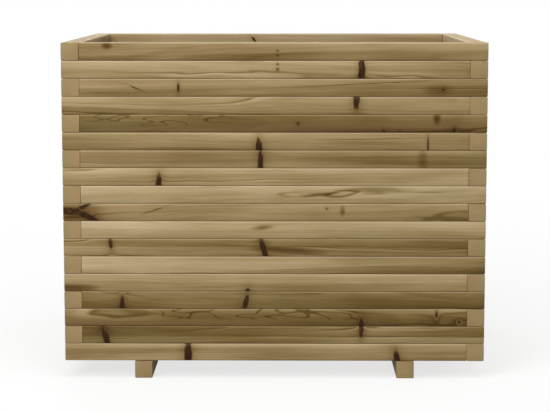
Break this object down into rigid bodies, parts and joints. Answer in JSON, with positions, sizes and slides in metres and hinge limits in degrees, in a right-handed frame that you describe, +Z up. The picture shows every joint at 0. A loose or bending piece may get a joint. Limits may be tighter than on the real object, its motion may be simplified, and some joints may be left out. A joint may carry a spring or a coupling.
{
  "type": "raised planter",
  "caption": "Tall open-topped timber planter of stacked square battens with lapped corners, a slatted floor inside and square runners as feet.",
  "frame": {"origin": "on the ground under the middle of the planter", "axes": "+X to the right along the long walls, +Y from front to back, +Z up"},
  "size_m": [1.044, 0.744, 0.836],
  "materials": {
    "wall_timber": "planed pressure-treated pine, olive tan, matt",
    "inner_timber": "pressure-treated pine, matt",
    "screw_steel": "yellow zinc plated, satin"
  },
  "bodies": {
    "root": {"back_batten_01": "wall_timber", "back_batten_02": "wall_timber", "back_batten_03": "wall_timber", "back_batten_04": "wall_timber", "back_batten_05": "wall_timber", "back_batten_06": "wall_timber", "back_batten_07": "wall_timber", "back_batten_08": "wall_timber", "back_batten_09": "wall_timber", "back_batten_10": "wall_timber", "back_batten_11": "wall_timber", "back_batten_12": "wall_timber", "back_batten_13": "wall_timber", "back_batten_14": "wall_timber", "back_batten_15": "wall_timber", "back_batten_16": "wall_timber", "back_batten_17": "wall_timber", "back_batten_18": "wall_timber", "corner_post_back_left": "inner_timber", "corner_post_back_right": "inner_timber", "corner_post_front_left": "inner_timber", "corner_post_front_right": "inner_timber", "floor_board_1": "inner_timber", "floor_board_2": "inner_timber", "floor_board_3": "inner_timber", "floor_board_4": "inner_timber", "floor_board_5": "inner_timber", "floor_board_6": "inner_timber", "floor_screws": "screw_steel", "front_batten_01": "wall_timber", "front_batten_02": "wall_timber", "front_batten_03": "wall_timber", "front_batten_04": "wall_timber", "front_batten_05": "wall_timber", "front_batten_06": "wall_timber", "front_batten_07": "wall_timber", "front_batten_08": "wall_timber", "front_batten_09": "wall_timber", "front_batten_10": "wall_timber", "front_batten_11": "wall_timber", "front_batten_12": "wall_timber", "front_batten_13": "wall_timber", "front_batten_14": "wall_timber", "front_batten_15": "wall_timber", "front_batten_16": "wall_timber", "front_batten_17": "wall_timber", "front_batten_18": "wall_timber", "left_battens_even_rows": "wall_timber", "left_battens_odd_rows": "wall_timber", "post_screws": "screw_steel", "right_battens_even_rows": "wall_timber", "right_battens_odd_rows": "wall_timber", "rim_screws": "screw_steel", "runner_left": "wall_timber", "runner_right": "wall_timber", "runner_screws": "screw_steel", "stiffener_back": "inner_timber", "stiffener_front": "inner_timber", "stiffener_screws": "screw_steel"}
  },
  "joints": []
}
